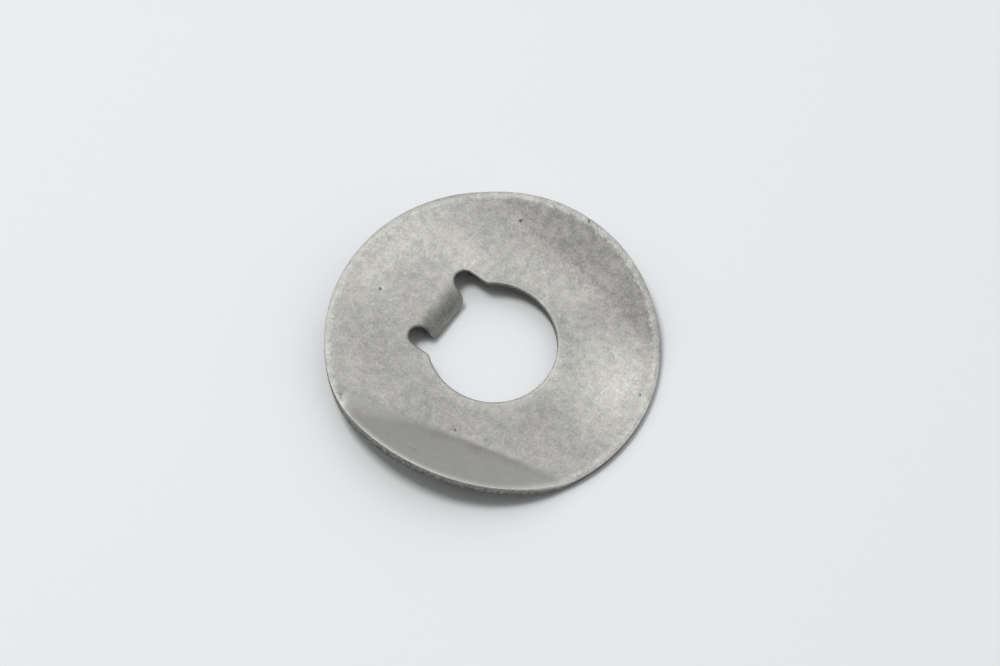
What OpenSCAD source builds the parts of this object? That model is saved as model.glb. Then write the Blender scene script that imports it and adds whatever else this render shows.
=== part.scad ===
// Tab washer for locking a shaft nut: one punched steel disc with a keyed bore.
// The tab is folded down out of the bore between two relief slots, and two sides
// of the rim are folded up. The washer lies as it comes to rest, on the tip of
// its tab and on the rim across from the tab.

/* [Sheet] */
// Thickness of the steel sheet
sheet = 1.2; // [0.8:0.1:1.6]

/* [Disc] */
// Outside diameter of the punched disc
disc_d = 44; // [42:0.5:56]
// Diameter of the bore that takes the shaft
bore_d = 17; // [16:0.1:18]
// Width of the band at the rim that the punch rolled over
roll_w = 0.7; // [0.4:0.1:1.2]
// Drop of the rolled rim below the top of the sheet
roll_drop = 0.15; // [0.1:0.05:0.3]

/* [Tab] */
// Width of the tab
tab_w = 7.1; // [5.5:0.1:8]
// How far the start of the tab's fold lies behind the edge of the bore
tab_setback = 0.85; // [0.6:0.05:1.6]
// Inside radius of the tab's fold
tab_bend_r = 1.5; // [0.8:0.1:1.8]
// Reach of the tab's tip below the underside of the disc
tab_drop = 2.1; // [2:0.1:5]
// Radius of the two corners at the tab's tip
tab_corner_r = 1.4; // [0.5:0.1:1.8]

/* [Relief slots] */
// Width of the relief slot on each side of the tab
slot_w = 2.9; // [2:0.1:3.2]
// How far the round ends of the slots pass the start of the tab's fold
slot_past_fold = 0.25; // [0.1:0.05:0.5]
// Radius of the shoulder where a slot opens into the bore
shoulder_r = 1; // [0.4:0.1:1.4]

/* [Steep flap] */
// Direction of the steep flap, counter-clockwise from the rim across from the tab
steep_dir = 284; // [275:1:295]
// Distance from the middle of the bore to the start of the steep flap's fold
steep_fold = 13.9; // [13:0.1:17]
// Inside radius of the steep flap's fold
steep_bend_r = 1.5; // [1:0.1:5]
// Angle by which the steep flap is folded up
steep_angle = 23.5; // [5:0.5:60]

/* [Shallow flap] */
// Direction of the shallow flap, counter-clockwise from the rim across from the tab
shallow_dir = 79; // [70:1:100]
// Distance from the middle of the bore to the start of the shallow flap's fold
shallow_fold = 12.6; // [12:0.1:15]
// Inside radius of the shallow flap's fold
shallow_bend_r = 12; // [4:0.5:16]
// Angle by which the shallow flap is folded up
shallow_angle = 16; // [4:1:20]

/* [Hidden] */
$fn = 96;

disc_r = disc_d / 2;
bore_r = bore_d / 2;

// Distance from the middle of the bore to the start of the tab's fold
tab_fold = bore_r + tab_setback;

// Slots: a straight run beside the tab with a round end
slot_end_r = slot_w / 2;
slot_y = tab_w / 2 + slot_end_r;
slot_x = -(tab_fold + slot_past_fold - slot_end_r);
slot_wall_y = tab_w / 2 + slot_w;

// Shoulder: an arc that is tangent to the slot's outer wall and to the bore
shoulder_y = slot_wall_y + shoulder_r;
shoulder_x = -sqrt(pow(bore_r + shoulder_r, 2) - pow(shoulder_y, 2));

// Tab: the fold turns a right angle about an axis below the sheet
tab_outer_r = tab_bend_r + sheet;
tab_face_x = -tab_fold + tab_outer_r;

// Rolled rim: an arc that leaves the top of the sheet at a slight angle and ends at the rim
roll_start = 3;
roll_chord = sqrt(pow(roll_w, 2) + pow(roll_drop, 2));
roll_turn = atan(roll_drop / roll_w) - roll_start;
roll_r = roll_chord / (2 * sin(roll_turn));
roll_x = disc_r - roll_w - roll_r * sin(roll_start);
roll_z = sheet - roll_r * cos(roll_start);

// Flaps: the layer of the sheet that keeps its length in a fold
neutral_share = 0.42;

// Fold strips: their fineness, and how far their ends lap into the flat sheet and keep inside its rim
fold_steps = 12;
roll_steps = 4;
fold_lap = 0.1;
fold_inset = 0.05;

// Rest: the tab's tip and the far rim lie on one plane
rest_tilt = atan(tab_drop / (disc_r - tab_face_x));

// Spare length of a cutter past the face that it cuts
past = 1;

// Radius of the blank at a height above its underside
function rim_r(z) = z > sheet - roll_drop ? roll_x + sqrt(pow(roll_r, 2) - pow(z - roll_z, 2)) : disc_r;

// Half the length of a straight cut across the blank, at a distance from its middle and a height
function half_chord(dist, z) = sqrt(pow(rim_r(z), 2) - pow(dist, 2));

// Length of sheet that a fold takes up
function fold_length(bend_r, angle) = (bend_r + neutral_share * sheet) * angle * PI / 180;

// Point of a flap's section at a height in the sheet: turn is the angle reached in the fold, run the
// straight length after it
function flap_point(fold, bend_r, turn, run, z) =
    let (r = bend_r + sheet - z)
    [fold + r * sin(turn) + run * cos(turn),
     sheet + bend_r - r * cos(turn) + run * sin(turn)];

// Section across the sheet at one station of a fold, up one side and down the other, inset from the rim
function fold_ring(fold, bend_r, turn, run, dist, inset) =
    let (heights = concat([0], [for (i = [0:roll_steps]) sheet - roll_drop * (1 - i / roll_steps)]),
         side = [for (z = heights)
             let (p = flap_point(fold, bend_r, turn, run, z))
             [p.x, half_chord(dist, z) - inset, p.y]])
    concat([for (p = side) [p.x, -p.y, p.z]], [for (i = [len(side) - 1:-1:0]) side[i]]);

// Curved strip of a flap's fold, with short flat laps into the disc and into the flap
module fold_strip(fold, bend_r, angle) {
    start = fold + fold_length(bend_r, angle);
    lap_in = fold_ring(fold, bend_r, 0, -fold_lap, fold, fold_inset);
    lap_out = fold_ring(fold, bend_r, angle, fold_lap, start + fold_lap, fold_inset);
    bend = [for (i = [0:fold_steps])
        let (turn = angle * i / fold_steps, end = i == 0 || i == fold_steps)
        fold_ring(fold, bend_r, turn, 0, fold + fold_length(bend_r, turn), end ? fold_inset : 0)];
    rings = concat([lap_in], bend, [lap_out]);
    n = len(lap_in);
    last = n * (len(rings) - 1);
    sides = [for (i = [0:len(rings) - 2]) for (j = [0:n - 1])
        let (a = n * i + j, b = n * i + (j + 1) % n)
        each [[a, b, b + n], [a, b + n, a + n]]];
    ends = [for (j = [1:n - 2]) each [[j + 1, j, 0], [last, last + j, last + j + 1]]];
    polyhedron(points = [for (ring = rings) each ring], faces = concat(sides, ends));
}

// Punched blank before it is folded: a disc with its upper rim rolled over
module blank() {
    rotate_extrude()
        difference() {
            square([disc_r, sheet]);
            difference() {
                translate([roll_x, max(roll_z, 0)])
                    square([disc_r, sheet + past]);
                translate([roll_x, roll_z])
                    circle(r = roll_r);
            }
        }
}

// Outer part of the blank past a fold, turned up about the fold
module flap(dir, fold, bend_r, angle) {
    start = fold + fold_length(bend_r, angle);
    foot = flap_point(fold, bend_r, angle, 0, 0);
    rotate([0, 0, dir]) {
        fold_strip(fold, bend_r, angle);
        translate([foot.x, 0, foot.y])
            rotate([0, -angle, 0])
                translate([-start, 0, 0])
                    intersection() {
                        blank();
                        translate([start + fold_lap / 2, -disc_r, -past])
                            cube([disc_r, disc_d, sheet + 2 * past]);
                    }
    }
}

// Region that a flap takes away from the flat of the disc
module flap_region(dir, fold) {
    rotate(dir)
        translate([fold - fold_lap / 2, -disc_d])
            square([disc_d, 2 * disc_d]);
}

// Corner that is taken off where a slot's outer wall meets the bore
module shoulder_cut() {
    touch = bore_r / (bore_r + shoulder_r);
    difference() {
        polygon([[shoulder_x, slot_wall_y], [shoulder_x, shoulder_y],
                 [shoulder_x * touch, shoulder_y * touch], [shoulder_x * touch, slot_wall_y]]);
        translate([shoulder_x, shoulder_y])
            circle(r = shoulder_r);
    }
}

// Both relief slots, with their shoulders
module slots() {
    for (side = [0, 1])
        mirror([0, side])
            union() {
                translate([slot_x, slot_y])
                    circle(r = slot_end_r);
                translate([slot_x, tab_w / 2])
                    square([-slot_x, slot_w]);
                shoulder_cut();
            }
}

// Flat of the disc: bore, slots and the place of the tab are open
module flat_disc() {
    difference() {
        blank();
        translate([0, 0, -past])
            linear_extrude(sheet + 2 * past) {
                circle(r = bore_r);
                slots();
                translate([-tab_fold, -slot_y])
                    square([tab_fold, 2 * slot_y]);
                flap_region(steep_dir, steep_fold);
                flap_region(shallow_dir, shallow_fold);
            }
    }
}

// Strip that is folded down a right angle, as wide as the root between the slots
module tab_strip() {
    translate([-tab_fold, slot_y, -tab_bend_r])
        rotate([90, 0, 0])
            rotate_extrude(angle = 90)
                translate([tab_bend_r, 0])
                    square([sheet, 2 * slot_y]);
    translate([tab_face_x - sheet, -slot_y, -tab_drop])
        cube([sheet, 2 * slot_y, tab_drop - tab_bend_r]);
}

// Corners that are taken off the tab's tip
module tip_corners() {
    for (side = [0, 1])
        mirror([0, side, 0])
            translate([-tab_fold, 0, 0])
                rotate([90, 0, 90])
                    linear_extrude(tab_fold)
                        difference() {
                            translate([tab_w / 2 - tab_corner_r, -tab_drop - past])
                                square([tab_corner_r + past, tab_corner_r + past]);
                            translate([tab_w / 2 - tab_corner_r, tab_corner_r - tab_drop])
                                circle(r = tab_corner_r);
                        }
}

// Tab: the folded strip, narrowed by the slots and rounded at its tip
module tab() {
    difference() {
        tab_strip();
        translate([0, 0, -tab_drop - past])
            linear_extrude(tab_drop + sheet + 2 * past)
                slots();
        tip_corners();
    }
}

module tab_washer() {
    color("silver")
        rotate([0, rest_tilt, 0])
            union() {
                flat_disc();
                tab();
                flap(steep_dir, steep_fold, steep_bend_r, steep_angle);
                flap(shallow_dir, shallow_fold, shallow_bend_r, shallow_angle);
            }
}

tab_washer();
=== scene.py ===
"""Tab washer for a shaft nut: one punched and folded steel sheet, lying as it comes to rest.

The sheet is drawn flat, as the punch leaves it, with its rolled rim, broken walls, pits and scores.
Geometry Nodes then fold the tab down and both flaps up, and lay the washer on the floor.
"""

import math
from collections import namedtuple

import bpy
import numpy as np
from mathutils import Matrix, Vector, kdtree, noise
from mathutils.geometry import delaunay_2d_cdt


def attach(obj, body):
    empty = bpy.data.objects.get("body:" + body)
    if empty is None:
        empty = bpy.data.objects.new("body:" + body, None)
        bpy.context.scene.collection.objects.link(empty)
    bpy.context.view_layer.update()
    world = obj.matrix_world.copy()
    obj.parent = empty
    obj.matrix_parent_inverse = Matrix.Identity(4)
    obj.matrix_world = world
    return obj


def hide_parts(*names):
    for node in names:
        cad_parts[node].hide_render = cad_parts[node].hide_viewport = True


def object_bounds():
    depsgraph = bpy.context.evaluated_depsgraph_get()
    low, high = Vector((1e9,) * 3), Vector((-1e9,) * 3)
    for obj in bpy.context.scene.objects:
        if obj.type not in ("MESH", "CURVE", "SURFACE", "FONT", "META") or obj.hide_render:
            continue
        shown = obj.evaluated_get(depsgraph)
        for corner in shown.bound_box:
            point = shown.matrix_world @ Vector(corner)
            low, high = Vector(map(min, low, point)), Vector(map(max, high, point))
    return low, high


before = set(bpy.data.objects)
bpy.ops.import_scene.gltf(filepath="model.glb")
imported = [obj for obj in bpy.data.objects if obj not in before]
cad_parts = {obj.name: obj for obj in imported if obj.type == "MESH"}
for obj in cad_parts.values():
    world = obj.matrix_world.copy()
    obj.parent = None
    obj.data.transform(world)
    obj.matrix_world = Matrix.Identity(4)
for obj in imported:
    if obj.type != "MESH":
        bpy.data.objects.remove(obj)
cad_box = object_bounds()

# Sizes of the washer in millimetres and degrees. They are those of the solid, apart from the tab's fold
# and corners and the steep flap's angle, which follow the real part more closely

MM = 0.001
SHEET = 1.2
DISC_R = 22.0
BORE_R = 8.5

TAB_W = 7.1
TAB_SETBACK = 1.2
TAB_FOLD = BORE_R + TAB_SETBACK
TAB_BEND_R = 1.7
TAB_DROP = 2.1
TAB_CORNER_R = 2.1

SLOT_W = 2.9
SLOT_SHORT_OF_FOLD = 0.1
SLOT_END_R = SLOT_W / 2
SLOT_Y = TAB_W / 2 + SLOT_END_R
SLOT_X = -(TAB_FOLD - SLOT_SHORT_OF_FOLD - SLOT_END_R)
SLOT_WALL_Y = TAB_W / 2 + SLOT_W
SHOULDER_R = 1.0
SHOULDER_Y = SLOT_WALL_Y + SHOULDER_R
SHOULDER_X = -math.sqrt((BORE_R + SHOULDER_R) ** 2 - SHOULDER_Y ** 2)

STEEP_DIR = 284.0
STEEP_FOLD = 13.9
STEEP_BEND_R = 1.5
STEEP_ANGLE = 23.2
SHALLOW_DIR = 79.0
SHALLOW_FOLD = 12.6
SHALLOW_BEND_R = 12.0
SHALLOW_ANGLE = 16.0

# The steep flap's fold is sharpest at one place along it, counted from its middle. From there its radius
# grows with the square of the way, and its start shifts with the radius. The flap is twisted a little,
# in degrees for each millimetre along the fold
STEEP_SHARPEST = 4.2
STEEP_SOFTENING = 0.035
STEEP_START_SHIFT = -0.125
STEEP_TWIST = -0.15

# Share of the sheet, counted from the inside of a fold, at which the sheet keeps its length
NEUTRAL_SHARE = 0.42

# Lean at rest, on the tab's tip and on the rim across from it
REST_TILT = math.degrees(math.atan(TAB_DROP / (DISC_R + TAB_FOLD - TAB_BEND_R - SHEET)))

# The tab's tip in the flat sheet: the fold's length and the straight run after it
TAB_TIP_X = -TAB_FOLD + (TAB_BEND_R + NEUTRAL_SHARE * SHEET) * math.pi / 2 + TAB_DROP - TAB_BEND_R

# Punched edges: the rim is rolled over at the top, most on one side and least across from it, and the bore
# and slots are only broken. A side has a direction, the cosine where it starts, and the span to its full
ROLL_DIR = 130.0
WIDE_ROLL_SIDE = (-0.34, 0.43)
RIM_ROLL_W = (0.6, 0.65)
RIM_ROLL_DROP = (0.12, 0.15)
BORE_ROLL_W = 0.22
BORE_ROLL_DROP = 0.14
ROLL_SLOPE = 0.25
BURR_W = 0.06
BURR_ROUND = 0.3
RIM_INSET = 0.035

# Tears in the cut walls: their depth, its mean share and spread, its share at the top of the wall, their
# coarse and fine grain, the share of the coarse one, and how much it is drawn out down the wall
WALL_TEAR = 0.05
TEAR_MEAN = 0.6
TEAR_SPREAD = 0.5
TEAR_AT_TOP = 0.35
TEAR_COARSE = 0.55
TEAR_FINE = 0.22
COARSE_SHARE = 0.6
COARSE_STRETCH = 2.0

# Pale borders: the width of the one inside the rolled rim, worn pale with a painted highlight, then the
# width and strength of the one round the bore, and of the one along the rim's palest side, worn pale with a
# painted highlight, which runs some way down the wall
BAND_BORDER = 0.5
BORE_BAND = 1.6
BORE_PALE = 0.25
WORN_LIT_RIM_DIR = 45
WORN_LIT_RIM_SIDE = (-0.25, 0.6)
WORN_LIT_RIM_W = 1.2
WORN_LIT_RIM = 0.5
WALL_PAINTED_LIGHT = 0.5

# What the finish knows an edge by: its corner, and the top of its cut wall, which ends at 1. A face has 0
CORNER_MARK = 0.3
WALL_TOP_MARK = 0.5

# How closely the painted highlight, a bright line, keeps to the corner of the rim and of the bore
RIM_LIP = 4
BORE_LIP = 2

# Fineness of the mesh, how a face is filled, and the angle past which a corner is sharp
EDGE_STEP = 0.16
ROLL_STEPS = 6
WALL_STEPS = 7
GRID_STEP = 0.3
EDGE_CLEARANCE = GRID_STEP * 0.55
WEAR_CLEARANCE = GRID_STEP * 0.5
SAME_POINT = 1e-7
HULL_TRIANGLES = 0
SHARP_CORNER = 38

# Wear in the flat sheet. Pits: place, radius, depth. Scores: both ends, half width, depth, dirt. The nick
# is a cut in the rim, and the kink a soft dent with its half width and half length
WAVE_DEPTH = 0.02
WAVE_SIZE = 2.6
TOP_WAVES = 3.0
UNDER_WAVES = 9.0
PITS = (
    (-7.3, 16.55, 0.26, 0.07),
    (-16.2, -2.7, 0.26, 0.07),
    (3.5, -13.0, 0.18, 0.05),
    (19.7, 5.6, 0.2, 0.05),
)
SCORES = (
    (13.1, 8.6, 14.6, 7.4, 0.10, 0.02, 0.1),
    (0.3, -19.7, 1.7, -19.6, 0.09, 0.02, 0.2),
    (7.5, -19.4, 7.35, -18.0, 0.07, 0.01, 0.12),
    (0.1, 21.95, 0.5, 21.3, 0.12, 0.05, 1.0),
    (-12.0, -18.25, -11.1, -18.05, 0.09, 0.03, 0.5),
)
NICK_DIR = 89.8
NICK_W = 0.16
NICK_DEPTH = 0.12
KINK_PLACE = (-10.8, -18.5)
KINK_DIR = 10.0
KINK_SIZE = (0.35, 1.1)
KINK_DEPTH = 0.16

# How far a pit and a score reach past their size, and how full of dirt they are. Rings of points round a
# pit: share of its radius, count
PIT_REACH = 1.1
SCORE_REACH = 1.2
DIRT_FILL = 1.3
PIT_RINGS = ((0.4, 6), (0.75, 10), (PIT_REACH, 14))

# Soft patches of the top face, partly worn and partly painted highlight and painted shade: place, radius, and
# how much paler or darker each is
PATCHES = (
    (18.0, 3.0, 6.0, 0.32),
    (15.0, 7.5, 5.0, 0.30),
    (11.2, 0.5, 3.0, 0.10),
    (12.5, -3.5, 3.5, -0.14),
    (5.1, 14.3, 2.5, 0.14),
    (-13.9, 0.5, 2.0, -0.14),
    (-18.5, -2.5, 2.6, 0.14),
    (-18.5, 4.5, 6.0, 0.28),
    (-16.5, 9.8, 3.0, 0.12),
    (-9.3, 7.8, 3.5, 0.28),
    (-2.3, 11.2, 3.0, 0.20),
    (3.0, 11.2, 3.0, 0.20),
    (0.0, -13.0, 5.0, -0.10),
    (9.0, -10.0, 4.5, -0.06),
    (-11.0, -10.0, 4.0, -0.10),
    (-10.5, -18.9, 0.7, 0.55),
)

# Camera, matched to the photograph's view
PHOTO_W = 1000
SENSOR = 36.0
LENS = 141.6
CAMERA_AZIMUTH = 35.81
CAMERA_ELEVATION = 62.97
CAMERA_DISTANCE = 513.0
BORE_SHIFT_PX = (-7.42, 9.12)

# Floor and light. Turns are counted from the camera's side, power is in watts
FLOOR_HALF = 1500.0
TENT_TURN = 184.0
CARD_TURN = 75.0
CARD_ELEVATION = 15.0
LAMP_TURN = 236.0
LAMP_ELEVATION = 72.0
LAMP_DISTANCE = 900.0
LAMP_SIZE = 260.0
LAMP_POWER = 3.75


def add_node(tree, kind, inputs=None, **settings):
    """A node with its settings; an input is linked where its value is a socket, and set where it isn't."""
    node = tree.nodes.new(kind)
    for name, value in settings.items():
        setattr(node, name, value)
    for key, value in (inputs or {}).items():
        if isinstance(value, bpy.types.NodeSocket):
            tree.links.new(value, node.inputs[key])
        else:
            node.inputs[key].default_value = value
    return node


def srgb(text):
    """An sRGB hex colour as linear RGBA."""
    parts = [int(text[i:i + 2], 16) / 255 for i in (1, 3, 5)]
    return tuple(p / 12.92 if p <= 0.04045 else ((p + 0.055) / 1.055) ** 2.4 for p in parts) + (1.0,)


# Outlines of the flat sheet


def arc(cx, cy, r, start, end, outside):
    """Points along an arc, each with its normal into the sheet, which lies outside the arc or within it."""
    count = max(2, round(math.radians(abs(end - start)) * r / EDGE_STEP))
    angles = [math.radians(start + (end - start) * i / count) for i in range(count)]
    side = 1 if outside else -1
    return [(cx + r * math.cos(a), cy + r * math.sin(a), side * math.cos(a), side * math.sin(a))
            for a in angles]


def line(x0, y0, x1, y1, nx, ny):
    """Points along a straight edge, each with the normal into the sheet."""
    count = max(2, round(math.hypot(x1 - x0, y1 - y0) / EDGE_STEP))
    return [(x0 + (x1 - x0) * i / count, y0 + (y1 - y0) * i / count, nx, ny) for i in range(count)]


def rim_loop():
    """The round rim of the disc, with a small nick."""
    points = []
    for x, y, nx, ny in arc(0, 0, DISC_R - RIM_INSET, 0, 360, False):
        along = math.radians((math.degrees(math.atan2(y, x)) - NICK_DIR + 180) % 360 - 180) * DISC_R
        cut = NICK_DEPTH * math.exp(-(along / NICK_W) ** 2)
        points.append((x + nx * cut, y + ny * cut, nx, ny))
    return points


def bore_loop():
    """The edge of the opening: the bore, both slots with their shoulders, and the tab between them."""
    touch = math.degrees(math.atan2(SHOULDER_Y, SHOULDER_X))
    half_w = TAB_W / 2
    corner_x = TAB_TIP_X - TAB_CORNER_R
    corner_y = half_w - TAB_CORNER_R
    return (
        arc(0, 0, BORE_R, touch, -touch, True)
        + arc(SHOULDER_X, -SHOULDER_Y, SHOULDER_R, 180 - touch, 90, False)
        + line(SHOULDER_X, -SLOT_WALL_Y, SLOT_X, -SLOT_WALL_Y, 0, -1)
        + arc(SLOT_X, -SLOT_Y, SLOT_END_R, -90, -270, True)
        + line(SLOT_X, -half_w, corner_x, -half_w, 0, 1)
        + arc(corner_x, -corner_y, TAB_CORNER_R, -90, 0, False)
        + line(TAB_TIP_X, -corner_y, TAB_TIP_X, corner_y, -1, 0)
        + arc(corner_x, corner_y, TAB_CORNER_R, 0, 90, False)
        + line(corner_x, half_w, SLOT_X, half_w, 0, -1)
        + arc(SLOT_X, SLOT_Y, SLOT_END_R, 270, 90, True)
        + line(SLOT_X, SLOT_WALL_Y, SHOULDER_X, SLOT_WALL_Y, 0, 1)
        + arc(SHOULDER_X, SHOULDER_Y, SHOULDER_R, -90, touch - 180, False)
    )


# Wear of the flat sheet


def kept_share(value):
    """A share, kept from 0 to 1."""
    return min(1.0, max(0.0, value))


def side_share(x, y, turn, start, span):
    """Soft share of the side of the disc that faces a direction, from a starting cosine over a span."""
    facing = (x * math.cos(math.radians(turn)) + y * math.sin(math.radians(turn))) / math.hypot(x, y)
    share = kept_share((facing - start) / span)
    return share * share * (3 - 2 * share)


def wide_roll(x, y):
    """Share of the rim's widest roll at a place: 1 on its worn side, 0 on the steep flap's side."""
    return side_share(x, y, ROLL_DIR, *WIDE_ROLL_SIDE)


def worn_lit_rim(x, y):
    """Share of the rim's palest band at a place: worn pale, with a painted highlight."""
    border = kept_share(1 - (DISC_R - math.hypot(x, y)) / WORN_LIT_RIM_W)
    return border * side_share(x, y, WORN_LIT_RIM_DIR, *WORN_LIT_RIM_SIDE)


def bore_band(x, y):
    """Share of the pale border of the bore at a place: it lies on the steep flap's side of the bore."""
    border = kept_share(1 - (math.hypot(x, y) - BORE_R) / BORE_BAND)
    return border * (1 - wide_roll(x, y))


def bell(x, y, place, turn, size):
    """Soft bump of height 1 about a place: size is its half width and half length, turned by an angle."""
    c, s = math.cos(math.radians(turn)), math.sin(math.radians(turn))
    dx, dy = x - place[0], y - place[1]
    return math.exp(-((dx * c + dy * s) / size[0]) ** 2 - ((dy * c - dx * s) / size[1]) ** 2)


def wave(x, y, layer):
    """Depth of the slow waves in a face."""
    return WAVE_DEPTH * (0.5 + 0.5 * noise.noise(Vector((x, y, layer)) / WAVE_SIZE))


def on_score(x, y, x0, y0, x1, y1):
    """Where a place lies on a score: the share of its length, and how far to its side."""
    length = math.hypot(x1 - x0, y1 - y0)
    along = ((x - x0) * (x1 - x0) + (y - y0) * (y1 - y0)) / length
    across = abs((x - x0) * (y1 - y0) - (y - y0) * (x1 - x0)) / length
    return along / length, across


def top_wear(x, y):
    """Depth of the wear in the top face: slow waves, pits, scores and the kink."""
    depth = wave(x, y, TOP_WAVES) + KINK_DEPTH * bell(x, y, KINK_PLACE, KINK_DIR, KINK_SIZE)
    for px, py, r, deep in PITS:
        depth += deep * max(0.0, 1 - ((x - px) ** 2 + (y - py) ** 2) / (PIT_REACH * r) ** 2)
    for *ends, half_w, deep, _ in SCORES:
        share, across = on_score(x, y, *ends)
        if 0 <= share <= 1:
            fade = math.sin(math.pi * share) ** 0.5
            depth += deep * fade * max(0.0, 1 - across / (SCORE_REACH * half_w))
    return depth


def top_dirt(x, y):
    """How dark the wear is: full in the pits, as much as each score has in the scores, and none elsewhere."""
    dirt = 0.0
    for px, py, r, _ in PITS:
        dirt = max(dirt, DIRT_FILL * (1 - math.hypot(x - px, y - py) / r))
    for *ends, half_w, _, dark in SCORES:
        share, across = on_score(x, y, *ends)
        if 0 <= share <= 1:
            dirt = max(dirt, dark * (DIRT_FILL - across / half_w))
    return min(1.0, dirt)


def top_patch(x, y):
    """How much paler, or darker where negative, the top face is: worn, painted highlight and painted shade.
    """
    rubbed_and_painted_light = sum(amount * bell(x, y, (px, py), 0, (r, r)) for px, py, r, amount in PATCHES)
    return rubbed_and_painted_light + BORE_PALE * bore_band(x, y) + WORN_LIT_RIM * worn_lit_rim(x, y)


def wall_tear(x, y, z, share):
    """Depth of the torn, broken part of a cut wall; share is 0 at the wall's top and 1 at its foot."""
    coarse = noise.noise(Vector((x, y, z / COARSE_STRETCH)) / TEAR_COARSE)
    fine = noise.noise(Vector((x, y, z)) / TEAR_FINE)
    rough = COARSE_SHARE * coarse + (1 - COARSE_SHARE) * fine
    return WALL_TEAR * (TEAR_MEAN + TEAR_SPREAD * rough) * min(1.0, TEAR_AT_TOP + share)


# Mesh of the flat sheet

# A point of the flat sheet in millimetres, with what the finish knows it by
SheetPoint = namedtuple("SheetPoint", "x y z wall edge rim_band inner_wall")


def edge_profile(roll_w, roll_drop):
    """Inset and height of each ring of a punched edge, from the top face down its wall to the underside."""
    shares = [i / ROLL_STEPS for i in range(ROLL_STEPS + 1)]
    roll = [(roll_w * (1 - s), SHEET - roll_drop * (ROLL_SLOPE * s + (1 - ROLL_SLOPE) * s * s))
            for s in shares]
    foot = SHEET - roll_drop
    wall = [(0, foot + (BURR_W - foot) * i / WALL_STEPS) for i in range(1, WALL_STEPS + 1)]
    return roll + wall + [(BURR_W * BURR_ROUND, BURR_W * BURR_ROUND), (BURR_W, 0)]


def rim_profile(share):
    """Profile of the rim at a place, by its share of the widest roll."""
    return edge_profile(*(low + (high - low) * share for low, high in (RIM_ROLL_W, RIM_ROLL_DROP)))


def wall_mark(x, y, below):
    """What the finish knows a ring of an edge by, from how many rings it lies below the corner."""
    # On the rim's palest side the top rings of the wall take the face's colour: painted light on the wall
    if below < 0 or 0 < below <= WALL_PAINTED_LIGHT * WALL_STEPS * worn_lit_rim(x, y):
        return 0.0
    if below == 0:
        return CORNER_MARK
    return WALL_TOP_MARK + (1 - WALL_TOP_MARK) * min(1.0, below / WALL_STEPS)


def punched_edge(loop, is_rim):
    """Points of a punched edge, ring by ring from the top face down its wall to the underside."""
    if is_rim:
        shares = [wide_roll(x, y) for x, y, _, _ in loop]
        profiles = [rim_profile(share) for share in shares]
    else:
        shares = [0.0] * len(loop)
        profiles = [edge_profile(BORE_ROLL_W, BORE_ROLL_DROP)] * len(loop)
    points = []
    for level in range(len(profiles[0])):
        below = level - ROLL_STEPS
        for (x, y, nx, ny), profile, share in zip(loop, profiles, shares):
            inset, z = profile[level]
            if 0 < below <= WALL_STEPS:
                inset += wall_tear(x, y, z, below / WALL_STEPS)
            px, py = x + nx * inset, y + ny * inset
            z -= top_wear(px, py) * max(0, 1 - level / ROLL_STEPS)
            # The painted highlight along the corner, and the rim's band, worn pale with a painted highlight
            lip = level / ROLL_STEPS if below <= 0 else 0.0
            edge = (1 - share) * lip ** (RIM_LIP if is_rim else BORE_LIP)
            band = share if is_rim and below <= 0 else 0.0
            points.append(SheetPoint(px, py, z, wall_mark(x, y, below), edge, band, 0.0 if is_rim else 1.0))
    return points


def ring_faces(start, end, count):
    """Faces between the rings of an edge, whose points are numbered from start to end, count to a ring."""
    found = []
    for ring in range(start, end - count, count):
        for i in range(count):
            j = (i + 1) % count
            found.append((ring + i, ring + count + i, ring + count + j, ring + j))
    return found


def inside(loop, points):
    """Which points lie within a closed loop."""
    x, y = points[:, 0], points[:, 1]
    found = np.zeros(len(points), bool)
    for (x0, y0), (x1, y1) in zip(loop, loop[1:] + loop[:1]):
        if y0 != y1:
            crosses = (y0 > y) != (y1 > y)
            found ^= crosses & (x < x0 + (y - y0) * (x1 - x0) / (y1 - y0))
    return found


def clear_of(points, others, gap):
    """The points that keep a gap from all the others."""
    tree = kdtree.KDTree(len(others))
    for i, (x, y) in enumerate(others):
        tree.insert((x, y, 0), i)
    tree.balance()
    return [p for p in points if tree.find((p[0], p[1], 0))[2] > gap]


def wear_points():
    """Extra points of the top face that carry the pits and scores."""
    points = []
    for x, y, r, _ in PITS:
        points.append((x, y))
        for share, count in PIT_RINGS:
            turns = [math.tau * i / count for i in range(count)]
            points += [(x + share * r * math.cos(t), y + share * r * math.sin(t)) for t in turns]
    for x0, y0, x1, y1, half_w, _, _ in SCORES:
        length = math.hypot(x1 - x0, y1 - y0)
        ux, uy = (x1 - x0) / length, (y1 - y0) / length
        count = round(length / half_w)
        for i in range(count + 1):
            along = length * i / count
            points += [(x0 + ux * along - uy * across * half_w, y0 + uy * along + ux * across * half_w)
                       for across in (-SCORE_REACH, 0, SCORE_REACH)]
    return points


def face_points(rim, bore, extra):
    """Points inside a face: an even triangular grid, clear of the edges and of the extra points."""
    row = GRID_STEP * math.sqrt(3) / 2
    half = math.ceil(DISC_R / row)
    steps = range(-half, half + 1)
    grid = np.array([((i + 0.5 * (j % 2)) * GRID_STEP, j * row) for j in steps for i in steps])
    grid = grid[inside(rim, grid) & ~inside(bore, grid)]
    kept = clear_of(grid.tolist(), rim + bore, EDGE_CLEARANCE)
    if extra:
        kept = clear_of(kept, extra, WEAR_CLEARANCE)
    return kept + extra


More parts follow.
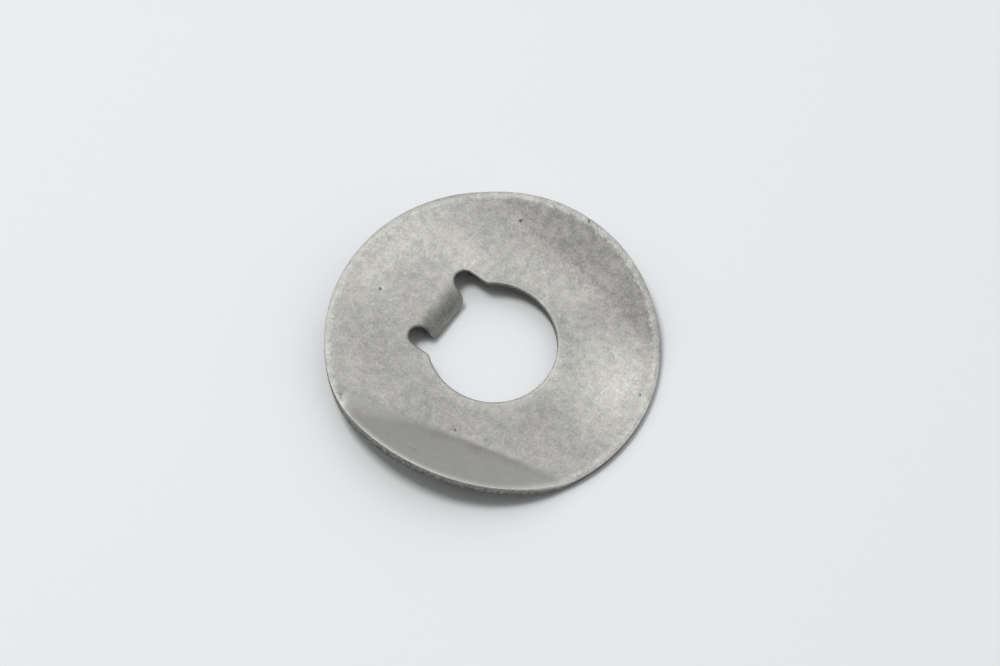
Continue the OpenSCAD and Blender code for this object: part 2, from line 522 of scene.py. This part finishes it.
def face_triangles(rim, bore, points):
    """Triangles of a face between its rim and its opening, as numbers in the order rim, bore, points."""
    corners = [Vector(c) for c in rim + bore + points]
    ring = [(i, (i + 1) % len(rim)) for i in range(len(rim))]
    hole = [(len(rim) + i, len(rim) + (i + 1) % len(bore)) for i in range(len(bore))]
    verts, _, faces, origin, _, _ = delaunay_2d_cdt(corners, ring + hole, [], HULL_TRIANGLES, SAME_POINT)
    number = [found[0] for found in origin]
    middle = np.array([[sum(verts[i][axis] for i in f) / 3 for axis in (0, 1)] for f in faces])
    keep = inside(rim, middle) & ~inside(bore, middle)
    return [tuple(number[i] for i in f) for f, good in zip(faces, keep) if good]


def face_point(x, y, is_top):
    """A point inside the top face or the underside."""
    if not is_top:
        return SheetPoint(x, y, wave(x, y, UNDER_WAVES), 0.0, 0.0, 0.0, 0.0)
    border = kept_share(1 - (DISC_R - RIM_ROLL_W[1] - math.hypot(x, y)) / BAND_BORDER)
    return SheetPoint(x, y, SHEET - top_wear(x, y), 0.0, 0.0, border * wide_roll(x, y), 0.0)


def fill_face(points, rim, bore, is_top):
    """Adds a face's own points between its rim and its opening, and returns its triangles."""
    rim_line = [points[i][:2] for i in rim]
    bore_line = [points[i][:2] for i in bore]
    own = face_points(rim_line, bore_line, wear_points() if is_top else [])
    number = [*rim, *bore, *range(len(points), len(points) + len(own))]
    points += [face_point(x, y, is_top) for x, y in own]
    triangles = [[number[i] for i in f] for f in face_triangles(rim_line, bore_line, own)]
    return triangles if is_top else [f[::-1] for f in triangles]


def store(mesh, name, values, kind="FLOAT"):
    """Keeps one value for each point of the mesh under a name."""
    layer = mesh.attributes.new(name, kind, "POINT")
    field = "vector" if kind == "FLOAT_VECTOR" else "value"
    layer.data.foreach_set(field, np.asarray(values, float).ravel())


def flat_sheet():
    """The punched sheet before it is folded: a closed mesh in metres, with values for folds and finish."""
    points, faces, top_rings, under_rings = [], [], [], []
    for loop, is_rim in ((rim_loop(), True), (bore_loop(), False)):
        start, count = len(points), len(loop)
        points += punched_edge(loop, is_rim)
        faces += ring_faces(start, len(points), count)
        top_rings.append(range(start, start + count))
        under_rings.append(range(len(points) - count, len(points)))
    for (rim, bore), is_top in ((top_rings, True), (under_rings, False)):
        faces += fill_face(points, rim, bore, is_top)

    mesh = bpy.data.meshes.new("tab_washer_sheet")
    mesh.from_pydata([Vector(p[:3]) * MM for p in points], [], faces)
    mesh.validate()
    flat = np.array([p[:3] for p in points])
    x, y = flat[:, 0], flat[:, 1]
    store(mesh, "flat", flat, "FLOAT_VECTOR")

    # The tab's fold moves what lies past its start between the middles of the slots
    store(mesh, "tab", (x > -TAB_FOLD) & (x < 0) & (abs(y) < SLOT_Y))
    for name in ("wall", "edge", "rim_band", "inner_wall"):
        store(mesh, name, [getattr(p, name) for p in points])
    for name, worn in (("dirt", top_dirt), ("patch", top_patch)):
        store(mesh, name, [worn(p.x, p.y) if p.z > SHEET / 2 else 0.0 for p in points])
    for name, turn, fold in (("steep", STEEP_DIR, STEEP_FOLD), ("shallow", SHALLOW_DIR, SHALLOW_FOLD)):
        store(mesh, name, x * math.cos(math.radians(turn)) + y * math.sin(math.radians(turn)) - fold)
    return mesh


# Folding


def fold_inputs(turn, start, bend_r, angle, side, sharpest=0.0, softening=0.0, shift=0.0, twist=0.0):
    """Inputs of a fold, in metres and radians; side is 1 for a fold up and -1 for a fold down."""
    return {
        "Direction": math.radians(turn),
        "Line": start * MM,
        "Inner Face": SHEET * MM if side > 0 else 0.0,
        "Side": float(side),
        "Bend Radius": bend_r * MM,
        "Sharpest Place": sharpest * MM,
        "Softening": softening / MM,
        "Start Shift": shift,
        "Neutral Depth": NEUTRAL_SHARE * SHEET * MM,
        "Angle": math.radians(angle),
        "Twist": math.radians(twist) / MM,
    }


FOLDS = {
    "Tab": fold_inputs(turn=0.0, start=-TAB_FOLD, bend_r=TAB_BEND_R, angle=90.0, side=-1),
    "Steep Flap": fold_inputs(turn=STEEP_DIR, start=STEEP_FOLD, bend_r=STEEP_BEND_R, angle=STEEP_ANGLE,
                              side=1, sharpest=STEEP_SHARPEST, softening=STEEP_SOFTENING,
                              shift=STEEP_START_SHIFT, twist=STEEP_TWIST),
    "Shallow Flap": fold_inputs(turn=SHALLOW_DIR, start=SHALLOW_FOLD, bend_r=SHALLOW_BEND_R,
                                angle=SHALLOW_ANGLE, side=1),
}


def fold_group(names):
    """Folds a sheet about a line: what lies past it goes round an arc and on in a straight run."""
    tree = bpy.data.node_groups.new("Fold", "GeometryNodeTree")
    tree.interface.new_socket("Geometry", in_out="INPUT", socket_type="NodeSocketGeometry")
    tree.interface.new_socket("Selection", in_out="INPUT", socket_type="NodeSocketBool")
    for name in names:
        tree.interface.new_socket(name, in_out="INPUT", socket_type="NodeSocketFloat")
    tree.interface.new_socket("Geometry", in_out="OUTPUT", socket_type="NodeSocketGeometry")
    given = add_node(tree, "NodeGroupInput").outputs

    position = add_node(tree, "GeometryNodeInputPosition").outputs[0]
    back = add_node(tree, "ShaderNodeMath", {0: given["Direction"], 1: -1.0}, operation="MULTIPLY").outputs[0]
    turned = add_node(tree, "ShaderNodeVectorRotate", {"Vector": position, "Angle": back},
                      rotation_type="Z_AXIS").outputs[0]
    place = add_node(tree, "ShaderNodeSeparateXYZ", {0: turned}).outputs

    # The fold at this place along its line: its radius, its start, its angle and its axis
    apart = add_node(tree, "ShaderNodeMath", {0: place["Y"], 1: given["Sharpest Place"]},
                     operation="SUBTRACT").outputs[0]
    spread = add_node(tree, "ShaderNodeMath", {0: apart, 1: apart}, operation="MULTIPLY").outputs[0]
    growth = add_node(tree, "ShaderNodeMath", {0: spread, 1: given["Softening"]},
                      operation="MULTIPLY").outputs[0]
    radius = add_node(tree, "ShaderNodeMath", {0: growth, 1: given["Bend Radius"]},
                      operation="ADD").outputs[0]
    start = add_node(tree, "ShaderNodeMath", {0: growth, 1: given["Start Shift"], 2: given["Line"]},
                     operation="MULTIPLY_ADD").outputs[0]
    angle = add_node(tree, "ShaderNodeMath", {0: place["Y"], 1: given["Twist"], 2: given["Angle"]},
                     operation="MULTIPLY_ADD").outputs[0]
    neutral = add_node(tree, "ShaderNodeMath", {0: radius, 1: given["Neutral Depth"]},
                       operation="ADD").outputs[0]
    axis = add_node(tree, "ShaderNodeMath", {0: radius, 1: given["Side"], 2: given["Inner Face"]},
                    operation="MULTIPLY_ADD").outputs[0]

    # Where the point lies past the line, how far round the arc that takes it, and its straight run after that
    past_line = add_node(tree, "ShaderNodeMath", {0: place["X"], 1: start}, operation="SUBTRACT").outputs[0]
    length = add_node(tree, "ShaderNodeMath", {0: neutral, 1: angle}, operation="MULTIPLY").outputs[0]
    bent = add_node(tree, "ShaderNodeClamp", {"Value": past_line, "Min": 0.0, "Max": length}).outputs[0]
    over = add_node(tree, "ShaderNodeMath", {0: past_line, 1: length}, operation="SUBTRACT").outputs[0]
    run = add_node(tree, "ShaderNodeMath", {0: over, 1: 0.0}, operation="MAXIMUM").outputs[0]
    before = add_node(tree, "ShaderNodeMath", {0: past_line, 1: 0.0}, operation="MINIMUM").outputs[0]
    turn = add_node(tree, "ShaderNodeMath", {0: bent, 1: neutral}, operation="DIVIDE").outputs[0]
    sine = add_node(tree, "ShaderNodeMath", {0: turn}, operation="SINE").outputs[0]
    cosine = add_node(tree, "ShaderNodeMath", {0: turn}, operation="COSINE").outputs[0]

    # The arm from the fold's axis to the point, turned with it
    below = add_node(tree, "ShaderNodeMath", {0: axis, 1: place["Z"]}, operation="SUBTRACT").outputs[0]
    arm = add_node(tree, "ShaderNodeMath", {0: below, 1: given["Side"]}, operation="MULTIPLY").outputs[0]
    foot = add_node(tree, "ShaderNodeMath", {0: start, 1: before}, operation="ADD").outputs[0]
    arc_end = add_node(tree, "ShaderNodeMath", {0: arm, 1: sine, 2: foot},
                       operation="MULTIPLY_ADD").outputs[0]
    out = add_node(tree, "ShaderNodeMath", {0: run, 1: cosine, 2: arc_end},
                   operation="MULTIPLY_ADD").outputs[0]
    hang = add_node(tree, "ShaderNodeMath", {0: arm, 1: cosine}, operation="MULTIPLY").outputs[0]
    climb = add_node(tree, "ShaderNodeMath", {0: run, 1: sine}, operation="MULTIPLY").outputs[0]
    rise = add_node(tree, "ShaderNodeMath", {0: climb, 1: hang}, operation="SUBTRACT").outputs[0]
    height = add_node(tree, "ShaderNodeMath", {0: rise, 1: given["Side"], 2: axis},
                      operation="MULTIPLY_ADD").outputs[0]
    folded = add_node(tree, "ShaderNodeCombineXYZ", {"X": out, "Y": place["Y"], "Z": height}).outputs[0]
    forward = add_node(tree, "ShaderNodeVectorRotate", {"Vector": folded, "Angle": given["Direction"]},
                       rotation_type="Z_AXIS").outputs[0]
    moved = add_node(tree, "GeometryNodeSetPosition", {"Geometry": given["Geometry"],
                     "Selection": given["Selection"], "Position": forward})
    add_node(tree, "NodeGroupOutput", {0: moved.outputs[0]})
    return tree


def folded_washer(sheet, finish):
    """The washer as one mesh: the flat sheet with its three folds, laid down as it rests."""
    tree = bpy.data.node_groups.new("Folded washer", "GeometryNodeTree")
    values = {}

    def named_input(name, kind, value):
        item = tree.interface.new_socket(name, in_out="INPUT", socket_type=kind)
        values[item.identifier] = value

    tree.interface.new_socket("Geometry", in_out="INPUT", socket_type="NodeSocketGeometry")
    for name, fold in FOLDS.items():
        for key, value in fold.items():
            named_input(name + " " + key, "NodeSocketFloat", value)
    named_input("Rest Turn", "NodeSocketVector", (0.0, math.radians(REST_TILT), 0.0))
    named_input("Finish", "NodeSocketMaterial", finish)
    tree.interface.new_socket("Geometry", in_out="OUTPUT", socket_type="NodeSocketGeometry")

    given = add_node(tree, "NodeGroupInput").outputs
    group = fold_group(FOLDS["Tab"])
    tab = add_node(tree, "GeometryNodeInputNamedAttribute", {"Name": "tab"}, data_type="FLOAT").outputs[0]
    geometry = given["Geometry"]
    for name, fold in FOLDS.items():
        inputs = {key: given[name + " " + key] for key in fold}
        inputs["Geometry"] = geometry
        inputs["Selection"] = tab if name == "Tab" else True
        geometry = add_node(tree, "GeometryNodeGroup", inputs, node_tree=group).outputs[0]
    laid = add_node(tree, "GeometryNodeTransform", {"Geometry": geometry, "Rotation": given["Rest Turn"]})
    smooth = add_node(tree, "GeometryNodeSetShadeSmooth", {0: laid.outputs[0]})
    real = add_node(tree, "GeometryNodeRealizeInstances", {0: smooth.outputs[0]})
    coated = add_node(tree, "GeometryNodeSetMaterial",
                      {"Geometry": real.outputs[0], "Material": given["Finish"]})
    add_node(tree, "NodeGroupOutput", {0: coated.outputs[0]})

    washer = bpy.data.objects.new("tab_washer_steel", sheet)
    bpy.context.scene.collection.objects.link(washer)
    modifier = washer.modifiers.new("Folds", "NODES")
    modifier.node_group = tree
    for identifier, value in values.items():
        modifier[identifier] = value
    graph = bpy.context.evaluated_depsgraph_get()
    mesh = bpy.data.meshes.new_from_object(washer.evaluated_get(graph), preserve_all_data_layers=True,
                                           depsgraph=graph)
    mesh.set_sharp_from_angle(angle=math.radians(SHARP_CORNER))
    washer.modifiers.clear()
    washer.data = mesh
    return washer


# Finish

# Sizes of the patterns in millimetres. The strokes of a real tumbler are finer, and are drawn as coarse as
# they need to show
STROKE_SIZE = (0.17, 0.5, 0.3)
STROKE_TURNS = (35, -50)
BLOTCH_SIZE = 1.2
CLOUD_SIZE = 5.0
STAIN_SIZE = 2.3
FLECK_SIZE = 0.45
STREAK_SIZE = (0.45, 0.45, 0.2)
STROKE_DEPTH = 0.05

# Shares: clouds among the blotches, both among the strokes, the steep flap's shade, painted shade on the
# bore's wall
CLOUD_SHARE = 0.3
SOFT_SHARE = 0.45
PRESSED_SHARE = 0.6
BORE_SHADE_SHARE = 0.75

# Hairlines: size of their curves, seed, shade, strength. Size of the spots they show in, and their half
# width in the noise
HAIRLINES = (
    (0.9, 3.0, "#d5d4d0", 0.4),
    (0.7, 17.0, "#d5d4d0", 0.3),
    (1.1, 41.0, "#706f6c", 0.3),
)
HAIR_SPOT = 0.9
HAIR_HALF_W = 0.035

# Where the finish of a flap, and on the shallow flap its painted shade, starts and is full, past the start of
# its fold
STEEP_FINISH = (-0.2, 2.2)
SHALLOW_FINISH = (-0.5, 3.5)

# On the flat, the shallow flap and the steep flap: half the span of tone from dark to pale steel, which is
# harsher where it is small, and the strength of the hairlines
TONE_SPANS = (0.11, 0.07, 0.2)
HAIR_STRENGTHS = (0.75, 0.9, 0.15)
# Share of the shallow flap's colour kept under its painted shade, which stands for the shade its fold turns
# it into
SHALLOW_PAINTED_SHADE = 0.69

# Shades of the steel, the paper and the tent; among the steel's are a painted highlight and a painted shade
WORN_DARK = "#8a8985"
WORN_PALE = "#aaa8a3"
PRESSED_SMOOTH = "#b4b2ae"
BROWN_STAIN = "#9c928c"
RUBBED_RIM_AND_HIGHLIGHT = "#d2d2ce"
BRIGHT_FLECK = "#dededa"
CORNER_HIGHLIGHT = "#e2e2de"
WALL_PALE = "#acaba7"
WALL_DARK = "#6c6b69"
BORE_WALL_SHADE = "#4e4d4c"
PIT_DIRT = "#4a4643"
PAPER_WHITE = "#e4e5e5"
TENT_WHITE = "#f6f8fb"

# Sockets of a Mix node, whose names repeat: two values, two colours, and the colour that comes out
VALUE_A = 2
VALUE_B = 3
COLOUR_A = 6
COLOUR_B = 7
COLOUR_OUT = 2


def crossed_strokes(tree, flat):
    """Short strokes that cross each other, as the tumbler leaves them."""
    strokes = []
    for turn in STROKE_TURNS:
        turned = add_node(tree, "ShaderNodeVectorRotate", {"Vector": flat, "Angle": math.radians(turn)},
                          rotation_type="Z_AXIS").outputs[0]
        drawn = add_node(tree, "ShaderNodeVectorMath", {0: turned, 1: tuple(1 / s for s in STROKE_SIZE)},
                         operation="MULTIPLY").outputs[0]
        field = add_node(tree, "ShaderNodeTexNoise", {"Vector": drawn, "Scale": 1.0, "Detail": 2.0})
        strokes.append(field.outputs["Fac"])
    return add_node(tree, "ShaderNodeMix",
                    {"Factor": 0.5, VALUE_A: strokes[0], VALUE_B: strokes[1]}).outputs[0]


def worn_tone(tree, flat, strokes):
    """Tone of the worn face: strokes over blotches and wider clouds."""
    blotches = add_node(tree, "ShaderNodeTexNoise",
                        {"Vector": flat, "Scale": 1 / BLOTCH_SIZE, "Detail": 4.0}).outputs["Fac"]
    clouds = add_node(tree, "ShaderNodeTexNoise",
                      {"Vector": flat, "Scale": 1 / CLOUD_SIZE, "Detail": 2.0}).outputs["Fac"]
    soft = add_node(tree, "ShaderNodeMix",
                    {"Factor": CLOUD_SHARE, VALUE_A: blotches, VALUE_B: clouds}).outputs[0]
    return add_node(tree, "ShaderNodeMix",
                    {"Factor": SOFT_SHARE, VALUE_A: strokes, VALUE_B: soft}).outputs[0]


def by_place(tree, amounts, on_shallow, on_steep):
    """An amount that changes from the flat to the shallow flap and to the steep flap."""
    flat, shallow, steep = amounts
    amount = add_node(tree, "ShaderNodeMapRange",
                      {"Value": on_shallow, "To Min": flat, "To Max": shallow}).outputs[0]
    return add_node(tree, "ShaderNodeMix", {"Factor": on_steep, VALUE_A: amount, VALUE_B: steep}).outputs[0]


def worn_colour(tree, tone, span):
    """Colour of the worn face: dark to pale steel over a span of tone about its middle."""
    low = add_node(tree, "ShaderNodeMath", {0: 0.5, 1: span}, operation="SUBTRACT").outputs[0]
    high = add_node(tree, "ShaderNodeMath", {0: 0.5, 1: span}, operation="ADD").outputs[0]
    worn = add_node(tree, "ShaderNodeMapRange", {"Value": tone, "From Min": low, "From Max": high}).outputs[0]
    return add_node(tree, "ShaderNodeMix",
                    {"Factor": worn, COLOUR_A: srgb(WORN_DARK), COLOUR_B: srgb(WORN_PALE)},
                    data_type="RGBA").outputs[COLOUR_OUT]


def hairline_layers(tree, flat, strength):
    """Curved hairlines left by loose parts rubbing in the tumbler, pale ones and fewer dark ones."""
    layers = []
    for size, seed, shade, amount in HAIRLINES:
        moved = add_node(tree, "ShaderNodeVectorMath", {0: flat, 1: (seed, seed, 0.0)},
                         operation="ADD").outputs[0]
        field = add_node(tree, "ShaderNodeTexNoise",
                         {"Vector": moved, "Scale": 1 / size, "Detail": 1.0}).outputs["Fac"]
        off = add_node(tree, "ShaderNodeMath", {0: field, 1: 0.5}, operation="SUBTRACT").outputs[0]
        away = add_node(tree, "ShaderNodeMath", {0: off}, operation="ABSOLUTE").outputs[0]
        thread = add_node(tree, "ShaderNodeMapRange",
                          {"Value": away, "From Min": HAIR_HALF_W, "From Max": 0.0}).outputs[0]
        spots = add_node(tree, "ShaderNodeTexNoise",
                         {"Vector": moved, "Scale": 1 / HAIR_SPOT, "Detail": 1.0}).outputs["Fac"]
        shown = add_node(tree, "ShaderNodeMapRange", {"Value": spots, "From Min": 0.5, "From Max": 0.62,
                         "To Max": amount}).outputs[0]
        hair = add_node(tree, "ShaderNodeMath", {0: thread, 1: shown}, operation="MULTIPLY").outputs[0]
        mask = add_node(tree, "ShaderNodeMath", {0: hair, 1: strength}, operation="MULTIPLY").outputs[0]
        layers.append((mask, srgb(shade), "MIX"))
    return layers


def rim_wear_and_highlight_layers(tree, flat, tone, rim, edge):
    """Rim and cut corners: the rim worn pale with a painted highlight, a broken border with bright flecks
    along the rim, and a painted highlight along the cut corners.
    """
    broken = add_node(tree, "ShaderNodeMapRange", {"Value": tone, "From Min": 0.4, "From Max": 0.6,
                      "To Min": -0.35, "To Max": 0.1}).outputs[0]
    # The rim's pale band, worn pale with a painted highlight, broken by the tone
    rubbed_and_painted_light = add_node(tree, "ShaderNodeMath", {0: rim, 1: broken}, operation="ADD").outputs[0]
    pale = add_node(tree, "ShaderNodeMapRange", {"Value": rubbed_and_painted_light, "From Min": 0.1, "From Max": 1.0,
                    "To Max": 0.2}).outputs[0]
    inside_rim = add_node(tree, "ShaderNodeMath", {0: 1.0, 1: rim}, operation="SUBTRACT").outputs[0]
    border = add_node(tree, "ShaderNodeMath", {0: rim, 1: inside_rim}, operation="MULTIPLY").outputs[0]
    field = add_node(tree, "ShaderNodeTexNoise",
                     {"Vector": flat, "Scale": 1 / FLECK_SIZE, "Detail": 3.0}).outputs["Fac"]
    spots = add_node(tree, "ShaderNodeMapRange", {"Value": field, "From Min": 0.53, "From Max": 0.68,
                     "To Max": 1.4}).outputs[0]
    flecks = add_node(tree, "ShaderNodeMath", {0: spots, 1: border}, operation="MULTIPLY").outputs[0]
    # Painted highlight: a broken bright line along the cut corners
    corner = add_node(tree, "ShaderNodeMath", {0: edge, 1: broken}, operation="ADD").outputs[0]
    bright = add_node(tree, "ShaderNodeMapRange", {"Value": corner, "From Min": 0.2, "From Max": 1.0,
                      "To Max": 0.5}).outputs[0]
    return [
        (pale, srgb(RUBBED_RIM_AND_HIGHLIGHT), "MIX"),
        (flecks, srgb(BRIGHT_FLECK), "MIX"),
        (bright, srgb(CORNER_HIGHLIGHT), "MIX"),
    ]


def cut_wall_layer(tree, flat, wall, inner):
    """Cut walls: torn in broken streaks, darker towards the foot, and darker still in the bore with painted
    shade.
    """
    torn = add_node(tree, "ShaderNodeVectorMath", {0: flat, 1: tuple(1 / s for s in STREAK_SIZE)},
                    operation="MULTIPLY").outputs[0]
    streaks = add_node(tree, "ShaderNodeTexNoise",
                       {"Vector": torn, "Scale": 1.0, "Detail": 3.0}).outputs["Fac"]
    streaked = add_node(tree, "ShaderNodeMapRange",
                        {"Value": streaks, "From Min": 0.68, "From Max": 0.32}).outputs[0]
    depth = add_node(tree, "ShaderNodeMapRange", {"Value": wall, "From Min": WALL_TOP_MARK, "From Max": 1.0,
                     "To Min": -0.35, "To Max": 0.35}).outputs[0]
    dark = add_node(tree, "ShaderNodeMath", {0: streaked, 1: depth}, operation="ADD",
                    use_clamp=True).outputs[0]
    clean = add_node(tree, "ShaderNodeMix",
                     {"Factor": dark, COLOUR_A: srgb(WALL_PALE), COLOUR_B: srgb(WALL_DARK)},
                     data_type="RGBA").outputs[COLOUR_OUT]
    # Painted shade on the walls in the bore
    bore_shade = add_node(tree, "ShaderNodeMath", {0: inner, 1: BORE_SHADE_SHARE}, operation="MULTIPLY").outputs[0]
    colour = add_node(tree, "ShaderNodeMix",
                      {"Factor": bore_shade, COLOUR_A: clean, COLOUR_B: srgb(BORE_WALL_SHADE)},
                      data_type="RGBA").outputs[COLOUR_OUT]
    on_wall = add_node(tree, "ShaderNodeMapRange",
                       {"Value": wall, "From Min": CORNER_MARK, "From Max": WALL_TOP_MARK}).outputs[0]
    return on_wall, colour, "MIX"


def steel_finish():
    """Mild steel sheet, punched and tumbled: a matt pale grey, worn in short strokes and soft blotches.

    The steep flap is pressed smooth, and the shallow one is more scratched and darkened by painted shade. The
    top face has soft patches, worn paler or darker and partly painted highlight and shade. The rolled rim is
    worn pale with a painted highlight over it, and the cut corners carry a painted highlight, a thin bright
    line. The cut walls are a rough, darker grey, with painted shade on the walls in the bore, and dirt lies
    in the pits and scores.
    """
    material = bpy.data.materials.new("tumbled mild steel sheet")
    material.use_nodes = True
    tree = material.node_tree
    tree.nodes.clear()
    flat = add_node(tree, "ShaderNodeAttribute", attribute_name="flat").outputs["Vector"]
    wall, edge, rim, inner, dirt, patch, steep, shallow = [
        add_node(tree, "ShaderNodeAttribute", attribute_name=name).outputs["Fac"]
        for name in ("wall", "edge", "rim_band", "inner_wall", "dirt", "patch", "steep", "shallow")
    ]

    on_steep, on_shallow = [
        add_node(tree, "ShaderNodeMapRange",
                 {"Value": past_line, "From Min": start, "From Max": full}).outputs[0]
        for past_line, (start, full) in ((steep, STEEP_FINISH), (shallow, SHALLOW_FINISH))
    ]
    strokes = crossed_strokes(tree, flat)
    tone = worn_tone(tree, flat, strokes)
    span = by_place(tree, TONE_SPANS, on_shallow, on_steep)
    strength = by_place(tree, HAIR_STRENGTHS, on_shallow, on_steep)
    pressed = add_node(tree, "ShaderNodeMath", {0: on_steep, 1: PRESSED_SHARE},
                       operation="MULTIPLY").outputs[0]

    # Faint brown stains
    stains = add_node(tree, "ShaderNodeTexNoise",
                      {"Vector": flat, "Scale": 1 / STAIN_SIZE, "Detail": 3.0}).outputs["Fac"]
    stained = add_node(tree, "ShaderNodeMapRange", {"Value": stains, "From Min": 0.6, "From Max": 0.75,
                       "To Max": 0.4}).outputs[0]

    # Patches of the top face, worn paler or darker and partly painted highlight and shade, and painted shade
    # on the shallow flap
    lift = add_node(tree, "ShaderNodeMath", {0: patch, 1: 1.0}, operation="ADD").outputs[0]
    painted_flap_shade = add_node(tree, "ShaderNodeMapRange",
                      {"Value": on_shallow, "To Min": 1.0, "To Max": SHALLOW_PAINTED_SHADE}).outputs[0]
    lift = add_node(tree, "ShaderNodeMath", {0: lift, 1: painted_flap_shade}, operation="MULTIPLY").outputs[0]

    # The colour is built up in layers: mask, shade, blend
    layers = [
        (pressed, srgb(PRESSED_SMOOTH), "MIX"),
        *hairline_layers(tree, flat, strength),
        (stained, srgb(BROWN_STAIN), "MIX"),
        (1.0, lift, "MULTIPLY"),
        *rim_wear_and_highlight_layers(tree, flat, tone, rim, edge),
        cut_wall_layer(tree, flat, wall, inner),
        (dirt, srgb(PIT_DIRT), "MIX"),
    ]
    colour = worn_colour(tree, tone, span)
    for mask, shade, blend in layers:
        colour = add_node(tree, "ShaderNodeMix", {"Factor": mask, COLOUR_A: colour, COLOUR_B: shade},
                          data_type="RGBA", blend_type=blend).outputs[COLOUR_OUT]

    bump = add_node(tree, "ShaderNodeBump",
                    {"Height": strokes, "Strength": 0.2, "Distance": STROKE_DEPTH * MM}).outputs[0]
    surface = add_node(tree, "ShaderNodeBsdfPrincipled",
                       {"Base Color": colour, "Metallic": 1.0, "Roughness": 0.6, "Normal": bump})
    add_node(tree, "ShaderNodeOutputMaterial", {"Surface": surface.outputs[0]})
    return material


# Floor, light and camera


def floor_finish():
    """Matt photographic paper: a pale, slightly cool white."""
    material = bpy.data.materials.new("matt white paper")
    material.use_nodes = True
    surface = material.node_tree.nodes["Principled BSDF"]
    surface.inputs["Base Color"].default_value = srgb(PAPER_WHITE)
    surface.inputs["Roughness"].default_value = 0.9
    surface.inputs["Specular IOR Level"].default_value = 0.1
    return material


def add_floor(z):
    """A wide sheet of paper under the washer."""
    half = FLOOR_HALF * MM
    corners = [(-half, -half, z), (half, -half, z), (half, half, z), (-half, half, z)]
    mesh = bpy.data.meshes.new("paper_floor")
    mesh.from_pydata(corners, [], [(0, 1, 2, 3)])
    mesh.materials.append(floor_finish())
    floor = bpy.data.objects.new("paper_floor", mesh)
    bpy.context.scene.collection.objects.link(floor)
    return floor


def direction(azimuth, elevation):
    """Unit vector from the washer towards a place round it; azimuth 0 is in front, 90 to the right."""
    a, e = math.radians(azimuth), math.radians(elevation)
    return Vector((math.cos(e) * math.sin(a), -math.cos(e) * math.cos(a), math.sin(e)))


def add_softbox():
    """A square softbox, high up behind the washer, that faces it."""
    light = bpy.data.lights.new("back_softbox", "AREA")
    light.size = LAMP_SIZE * MM
    light.energy = LAMP_POWER
    lamp = bpy.data.objects.new("back_softbox", light)
    lamp.location = direction(CAMERA_AZIMUTH + LAMP_TURN, LAMP_ELEVATION) * (LAMP_DISTANCE * MM)
    lamp.rotation_euler = lamp.location.to_track_quat("Z", "Y").to_euler()
    bpy.context.scene.collection.objects.link(lamp)


def light_tent():
    """A light tent: bright overhead and behind, darker towards the camera, with a pale card at the right."""
    world = bpy.data.worlds.new("light_tent")
    bpy.context.scene.world = world
    world.use_nodes = True
    tree = world.node_tree
    tree.nodes.clear()
    way = add_node(tree, "ShaderNodeTexCoord").outputs["Generated"]
    height = add_node(tree, "ShaderNodeSeparateXYZ", {0: way}).outputs["Z"]
    behind = add_node(tree, "ShaderNodeVectorMath", {0: way, 1: direction(CAMERA_AZIMUTH + TENT_TURN, 0)},
                      operation="DOT_PRODUCT").outputs["Value"]
    overhead = add_node(tree, "ShaderNodeMapRange", {"Value": height, "From Min": 0.0, "From Max": 0.85,
                        "To Min": 0.08, "To Max": 1.0}, interpolation_type="SMOOTHSTEP").outputs[0]
    glow = add_node(tree, "ShaderNodeMapRange", {"Value": behind, "From Min": -0.6, "From Max": 0.6,
                    "To Min": 0.08, "To Max": 1.4}, interpolation_type="SMOOTHSTEP").outputs[0]
    beside = add_node(tree, "ShaderNodeVectorMath",
                      {0: way, 1: direction(CAMERA_AZIMUTH + CARD_TURN, CARD_ELEVATION)},
                      operation="DOT_PRODUCT").outputs["Value"]
    card = add_node(tree, "ShaderNodeMapRange", {"Value": beside, "From Min": 0.5, "From Max": 1.0,
                    "To Max": 0.45}, interpolation_type="SMOOTHSTEP").outputs[0]
    strength = add_node(tree, "ShaderNodeMath", {0: overhead, 1: glow, 2: card},
                        operation="MULTIPLY_ADD").outputs[0]
    sky = add_node(tree, "ShaderNodeBackground", {"Color": srgb(TENT_WHITE), "Strength": strength})
    add_node(tree, "ShaderNodeOutputWorld", {"Surface": sky.outputs[0]})


def add_camera():
    """The camera at the photograph's angle; the bore's middle stands a little off the picture's middle."""
    camera = bpy.data.cameras.new("photo_camera")
    camera.sensor_width = SENSOR
    camera.lens = LENS
    camera.clip_start = 0.01
    holder = bpy.data.objects.new("photo_camera", camera)
    back = direction(CAMERA_AZIMUTH, CAMERA_ELEVATION)
    right = Vector((0, 0, 1)).cross(back).normalized()
    up = back.cross(right)
    per_px = CAMERA_DISTANCE * MM * SENSOR / LENS / PHOTO_W
    tilt = math.radians(REST_TILT)
    bore = Vector((SHEET * math.sin(tilt), 0, SHEET * math.cos(tilt))) * MM
    aim = bore - right * BORE_SHIFT_PX[0] * per_px + up * BORE_SHIFT_PX[1] * per_px
    holder.location = aim + back * CAMERA_DISTANCE * MM
    holder.rotation_euler = back.to_track_quat("Z", "Y").to_euler()
    bpy.context.scene.collection.objects.link(holder)
    bpy.context.scene.camera = holder


washer = folded_washer(flat_sheet(), steel_finish())
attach(washer, "root")
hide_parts("tab_washer")

paper = add_floor(cad_box[0][2])
light_tent()
add_softbox()
add_camera()
bpy.context.scene.view_settings.view_transform = "Standard"
